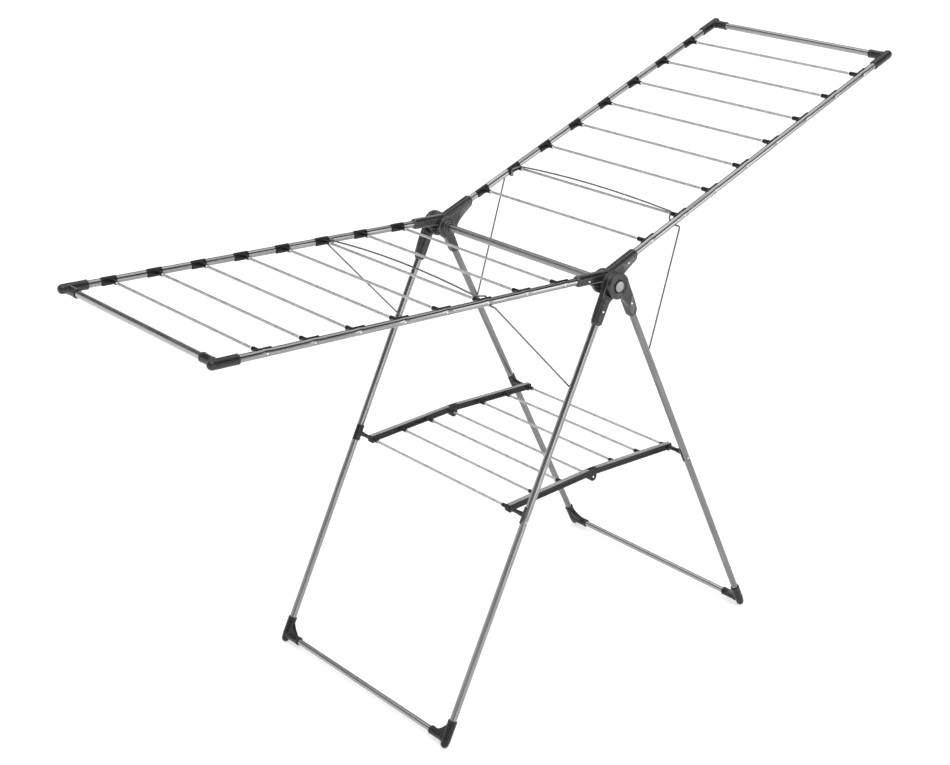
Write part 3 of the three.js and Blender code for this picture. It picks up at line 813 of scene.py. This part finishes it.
def leg_rivets(end, shared):
    """The rivet heads on the outer side of a leg: one on the hub and one at the bracket."""
    outward = Matrix.Rotation(0.0 if end > 0 else math.pi, 4, "Z")
    on_hub = Matrix.Translation((HUB_RIVET, end * LEG_HUB_FACE[end], LEG_OFFSET + 1))
    on_tube = Matrix.Translation((TUBE_RIVET, end * (LEG_PLANE + RIVET_FACE), LEG_OFFSET))
    return joined([(shared["hub_rivet"], on_hub @ outward), (shared["rivet"], on_tube @ outward)])


def build_leg_end(side, end, matrix, shared):
    """One side of a leg frame: hub, tube, rivets, foot and bracket."""
    body = f"leg_frame_{side}"
    place = f"{side}_{PLACE[side, end]}"
    hub = shared["leg_hub", end]
    piece(f"leg_hub_{place}_moulding", hub, matrix, body, [f"leg_hub_{place}"], HUB_PLASTIC)
    stop = FOOT_BAR - BAR_SLEEVE_RADIUS - SLIP
    tube = side_tube(LEG_SOCKET_START + SLIP, stop, end * LEG_PLANE, LEG_OFFSET, [TUBE_RIVET])
    tube_node = [f"leg_tube_{place}"]
    sharpened(piece(f"leg_tube_{place}_steel", tube, matrix, body, tube_node, LEG_STEEL[side]))
    piece(f"leg_rivets_{place}", leg_rivets(end, shared), matrix, body, tube_node, RIVET)
    foot_place = matrix @ Matrix.Translation((FOOT_BAR, end * LEG_PLANE, LEG_OFFSET))
    node = [f"foot_{place}"]
    foot = shared["foot", end]
    piece(f"foot_{place}_moulding", foot, foot_place, body, node, FOOT_PLASTIC, above_floor=True)
    node = [f"shelf_bracket_{place}"]
    bracket = bracket_mesh(end, side == "left")
    piece(f"shelf_bracket_{place}_moulding", bracket, matrix, body, node, PLASTIC)


def build_legs(side, shared):
    """A leg frame: both its sides and its foot bar."""
    matrix = arm_matrix(side, LEG_SLOPE)
    for end in ENDS:
        build_leg_end(side, end, matrix, shared)
    bar = cross_bar(FOOT_BAR, LEG_OFFSET, LEG_PLANE - SLEEVE_RADIUS - SLIP, FOOT_BAR_RADIUS)
    body = f"leg_frame_{side}"
    sharpened(piece(f"foot_bar_{side}_steel", bar, matrix, body, [f"foot_bar_{side}"], BAR_STEEL))


AXLE_REACH = 311
CAP_DISC = (309, 312.4, 11.8, 11.6)  # start, stop and both radii
CAP_DOME = {"at": 312, "radius": 11.4, "flatness": 0.14}


def build_axle():
    """The axle tube and the silver cap at each of its ends."""
    matrix = half_matrix("right")
    body = "leg_frame_left"
    bar = cross_bar(0, 0, AXLE_REACH, AXLE_RADIUS)
    sharpened(piece("axle_tube_steel", bar, matrix, body, ["axle_tube"], AXLE_STEEL))
    start, stop, *radii = CAP_DISC
    for end, place in ((-1, "front"), (1, "back")):
        bm = bmesh.new()
        rod(bm, *cross_line(end, 0, 0, start, stop), *radii, sides=64)
        dome = (0, end * CAP_DOME["at"], 0)
        ball(bm, dome, CAP_DOME["radius"], stretch=(1, CAP_DOME["flatness"], 1))
        node = [f"axle_cap_{place}"]
        sharpened(piece(f"axle_cap_{place}_disc", mesh_of(bm), matrix, body, node, CAP_FINISH))


# Shelf

RAIL_TOP = 8.5  # heights of a rail's outer end above the pivots
RAIL_BOTTOM = -6.5
RAIL_RISE = 10.5  # its middle end is this much higher
KNUCKLE_SPLIT = 242  # the knuckles of both halves meet in this plane
KNUCKLE_RADIUS = 10.5
SHELF_HALF, SHELF_LEVEL = arm_point(LEG_SLOPE, SHELF_DROP, LEG_OFFSET)
SHELF_SPACES = 3
RAIL_END = SHELF_HALF + 8
SHELF_WIRE_LIFT = 3.4  # the inner wires above the line from pivot to hinge
SHELF_WIRE_REACH = 238
SHELF_SOCKET = {"inner": 20, "pivot": 16}  # how far the sockets stand out from the rail
HINGE_WIRE_REACH = 248
PIN_HOLE = (240.5, 252)
LOBE = {"span": (236, 248.5), "z": -1.5, "radius": 8.2}


def shelf_wire_height(x):
    """Height of an inner shelf wire above the pivots."""
    return SHELF_WIRE_LIFT + RAIL_RISE / 2 * (1 - x / SHELF_HALF)


def rail_outline():
    """A rail from the side, as (x, z)."""
    return [
        (SLIP, RAIL_BOTTOM + RAIL_RISE),
        (RAIL_END - 4, RAIL_BOTTOM),
        (RAIL_END, RAIL_BOTTOM + 4),
        (RAIL_END, RAIL_TOP - 2),
        (RAIL_END - 2, RAIL_TOP),
        (SLIP, RAIL_TOP + RAIL_RISE),
    ]


def rail_grooves(end):
    """Cuts the recess along each side of a rail, under its flange."""
    start, stop, top = 16, SHELF_HALF - 8, RAIL_TOP - 4.6
    outline = [(start, top + RAIL_RISE - 1.6), (stop, top - 0.8)]
    outline += [(stop, top - 4), (start, top + RAIL_RISE - 5.4)]
    grooves = []
    for face, depth in ((RAIL_OUTER, -1.6), (RAIL_INNER, 1.2)):
        near, far = sorted((end * (face + depth), end * (face - 3 * depth)))
        grooves.append(hole(prism, outline, near, far))
    return grooves


def rail_mesh(end, pinned):
    """A shelf rail: a flat top flange over a recessed side, a knuckle at the middle and a lobe outside."""
    bm = bmesh.new()
    prism(bm, rail_outline(), end * RAIL_INNER, end * RAIL_OUTER)
    rod(bm, *cross_line(end, SHELF_HALF, LOBE["z"], *LOBE["span"]), LOBE["radius"])
    own = (RAIL_INNER, KNUCKLE_SPLIT - SLIP)
    other = (KNUCKLE_SPLIT - SLIP, RAIL_OUTER + PAST)
    if end > 0:
        own = (KNUCKLE_SPLIT + SLIP, RAIL_OUTER)
        other = (RAIL_INNER - PAST, KNUCKLE_SPLIT + SLIP)
    holes = [hole(rod, *cross_line(end, 0, 0, *other), KNUCKLE_RADIUS + 0.4, sides=48)]
    holes += rail_grooves(end)
    for n in range(1, SHELF_SPACES + 1):
        x = n * SHELF_HALF / SHELF_SPACES
        at_pivot = n == SHELF_SPACES
        z = 0.0 if at_pivot else shelf_wire_height(x)
        reach = SHELF_SOCKET["pivot" if at_pivot else "inner"]
        rod(bm, *cross_line(end, x, z, RAIL_INNER + 1, RAIL_INNER - reach), 5.0, 4.4)
        bore = cross_line(end, x, z, RAIL_INNER - reach - PAST, RAIL_INNER + 4)
        holes.append(hole(rod, *bore, WIRE_RADIUS + SLIP))
    if pinned:
        holes.append(hole(rod, *cross_line(end, SHELF_HALF, 0, *PIN_HOLE), 2.8))
    return with_knuckle(moulded(bm, holes, voxel=0.9), end, own)


def with_knuckle(body, end, span):
    """The rail with its hinge knuckle, bored for the hinge wire."""
    knuckle = bmesh.new()
    rod(knuckle, *cross_line(end, 0, 0, *span), KNUCKLE_RADIUS, sides=48)
    merged = bmesh.new()
    merged.from_mesh(body)
    merged.from_mesh(mesh_of(knuckle))
    bore = cross_line(end, 0, 0, RAIL_INNER - 5, RAIL_OUTER + 6)
    return moulded(merged, [hole(rod, *bore, WIRE_RADIUS + SLIP)], voxel=0.7, smoothing=2)


def rail_strip(end):
    """The pale strip let into the top of a rail, from beside the knuckle to the outer end."""
    bm = bmesh.new()
    near, far = 12, SHELF_HALF + 3
    slope = RAIL_RISE / RAIL_END
    tops = [(x, RAIL_TOP + RAIL_RISE - slope * x) for x in (near, far)]
    outline = [(x, z - 1) for x, z in tops] + [(x, z + 0.6) for x, z in tops[::-1]]
    prism(bm, outline, end * (RAIL_INNER + 1.8), end * (RAIL_OUTER - 1.2))
    bmesh.ops.bevel(bm, geom=bm.edges[:], offset=0.35, segments=2, affect="EDGES")
    return mesh_of(bm)


def build_shelf(side, shared):
    """Half of the shelf: two rails with their strips, two inner wires and the pivot wire."""
    body = f"shelf_{side}"
    matrix = half_matrix(side) @ Matrix.Translation((0, 0, SHELF_LEVEL))
    for end in ENDS:
        place = f"{side}_{PLACE[side, end]}"
        rail = shared["rail", end, side == "left"]
        node = [f"shelf_rail_{place}"]
        piece(f"shelf_rail_{place}_moulding", rail, matrix, body, node, RAIL_PLASTIC)
        piece(f"shelf_rail_{place}_strip", rail_strip(end), matrix, body, node, RAIL_STRIP)
    back_rail = [f"shelf_rail_{side}_back"]
    for n in range(1, SHELF_SPACES):
        x = n * SHELF_HALF / SHELF_SPACES
        wire = cross_bar(x, shelf_wire_height(x), SHELF_WIRE_REACH, WIRE_RADIUS, sides=20)
        sharpened(piece(f"shelf_wire_{side}_{n}", wire, matrix, body, back_rail, SHELF_WIRE))
    bar = cross_bar(SHELF_HALF, 0, SHELF_WIRE_REACH, WIRE_RADIUS)
    node = [f"shelf_pivot_wire_{side}"]
    sharpened(piece(f"shelf_pivot_wire_{side}_steel", bar, matrix, body, node, SHELF_WIRE))


def build_hinge_wire(shared):
    """The wire on which the shelf folds, with a rivet head at each end."""
    matrix = half_matrix("left") @ Matrix.Translation((0, 0, SHELF_LEVEL))
    node = ["shelf_hinge_wire"]
    bar = cross_bar(0, 0, HINGE_WIRE_REACH, WIRE_RADIUS)
    sharpened(piece("shelf_hinge_wire_steel", bar, matrix, "shelf_left", node, SHELF_WIRE))
    heads = []
    for end in ENDS:
        turn = Matrix.Rotation(0.0 if end > 0 else math.pi, 4, "Z")
        heads.append((shared["hub_rivet"], Matrix.Translation((0, end * (RAIL_OUTER - 0.4), 0)) @ turn))
    piece("shelf_hinge_rivets", joined(heads), matrix, "shelf_left", node, RIVET)


# Stage

# Softboxes: name, place, aim, size and power
LIGHTS = (
    ("key", (-1.5, -2.5, 4.2), (0, 0, 0.6), (1.6, 1.0), 45),
    ("front", (-1.0, -3.9, 1.2), (0, 0, 0.8), (0.7, 2.0), 16),
    ("side", (2.5, -3.1, 1.25), (0, 0, 0.8), (1.2, 2.2), 18),
)
# Brightness of the studio against the sine of the elevation: pale walls, a dark band and a broad soft top
STUDIO_BANDS = ((0.0, 0.75), (0.24, 0.8), (0.36, 0.1), (0.64, 0.08), (0.78, 1.3), (1.0, 1.6))


def build_stage():
    """The pale floor, just under the feet."""
    bm = bmesh.new()
    bmesh.ops.create_grid(bm, x_segments=1, y_segments=1, size=30)
    floor = bpy.data.objects.new("floor", mesh_of(bm))
    bpy.context.collection.objects.link(floor)
    material, *_, shader = new_material("pale_floor", (0.6, 0.6, 0.6), 0.8)
    shader.inputs["Specular IOR Level"].default_value = 0.1
    shader.inputs["Emission Color"].default_value = (1, 1, 1, 1)
    shader.inputs["Emission Strength"].default_value = 0.6
    floor.data.materials.append(material)
    floor.location.z = -0.0003


def add_area_light(name, location, target, size, power):
    """A rectangular softbox that faces its target."""
    light = bpy.data.lights.new(name, "AREA")
    light.shape = "RECTANGLE"
    light.size, light.size_y = size
    light.energy = power
    lamp = bpy.data.objects.new(name, light)
    bpy.context.collection.objects.link(lamp)
    lamp.location = location
    aim = Vector(target) - Vector(location)
    lamp.rotation_euler = aim.to_track_quat("-Z", "Y").to_euler()


def build_world():
    """A white studio, whose walls and ceiling show as bands along the tubes."""
    world = bpy.data.worlds.new("studio")
    bpy.context.scene.world = world
    world.use_nodes = True
    nodes, links = world.node_tree.nodes, world.node_tree.links
    height = nodes.new("ShaderNodeSeparateXYZ")
    links.new(nodes.new("ShaderNodeTexCoord").outputs["Generated"], height.inputs["Vector"])
    ramp = nodes.new("ShaderNodeValToRGB")
    ramp.color_ramp.interpolation = "EASE"
    stops = ramp.color_ramp.elements
    while len(stops) < len(STUDIO_BANDS):
        stops.new(0.5)
    for stop, (position, level) in zip(stops, STUDIO_BANDS):
        stop.position = position
        stop.color = (level, level, level, 1)
    links.new(height.outputs["Z"], ramp.inputs["Fac"])
    # The back of the studio glows more than its front.
    back_glow = ranged(nodes, links, height.outputs["Y"], 0.8, 1.4, -0.5, 0.5)
    lit = nodes.new("ShaderNodeVectorMath")
    lit.operation = "SCALE"
    links.new(ramp.outputs["Color"], lit.inputs["Vector"])
    links.new(back_glow, lit.inputs["Scale"])
    mix = nodes.new("ShaderNodeMix")
    mix.data_type = "RGBA"
    mix.inputs["B"].default_value = (1, 1, 1, 1)
    links.new(nodes.new("ShaderNodeLightPath").outputs["Is Camera Ray"], mix.inputs["Factor"])
    links.new(lit.outputs["Vector"], mix.inputs["A"])
    background = nodes["Background"]
    links.new(mix.outputs["Result"], background.inputs["Color"])
    background.inputs["Strength"].default_value = 1.0


CAMERA_AZIMUTH = math.radians(-40.86)
CAMERA_ELEVATION = math.radians(22.22)
CAMERA_DISTANCE = 3.973
CAMERA_LENS = 66.65
CAMERA_TARGET = Vector((HUB.x - 0.1367, 0.0, 0.6708))


def build_camera():
    """The camera, looking at its target from the front left and above."""
    data = bpy.data.cameras.new("camera")
    data.sensor_width = 36.0
    data.lens = CAMERA_LENS
    camera = bpy.data.objects.new("camera", data)
    bpy.context.collection.objects.link(camera)
    flat = math.cos(CAMERA_ELEVATION)
    back = Vector((
        math.sin(CAMERA_AZIMUTH) * flat,
        -math.cos(CAMERA_AZIMUTH) * flat,
        math.sin(CAMERA_ELEVATION),
    ))
    camera.location = CAMERA_TARGET + back * CAMERA_DISTANCE
    camera.rotation_euler = (-back).to_track_quat("-Z", "Y").to_euler()
    bpy.context.scene.camera = camera


def shared_forms():
    """The forms that both halves of the rack use."""
    forms = {"clip": clip_mesh(), "rivet": rivet_mesh(1.9, 1.0), "hub_rivet": rivet_mesh(2.5, 1.2)}
    for end in ENDS:
        forms["leg_hub", end] = leg_hub(end)
        forms["wing_corner", end] = corner_plug(end, WING_CORNER)
        forms["foot", end] = corner_plug(end, FOOT, taper=1.2)
        for pinned in (True, False):
            forms["rail", end, pinned] = rail_mesh(end, pinned)
    return forms


def main():
    build_camera()
    build_world()
    build_stage()
    for light in LIGHTS:
        add_area_light(*light)
    shared = shared_forms()
    for side in SIDES:
        build_legs(side, shared)
        build_wing(side, shared)
        build_stay(side)
        build_shelf(side, shared)
    build_axle()
    build_hinge_wire(shared)
    bpy.context.scene.view_settings.view_transform = "Standard"


main()
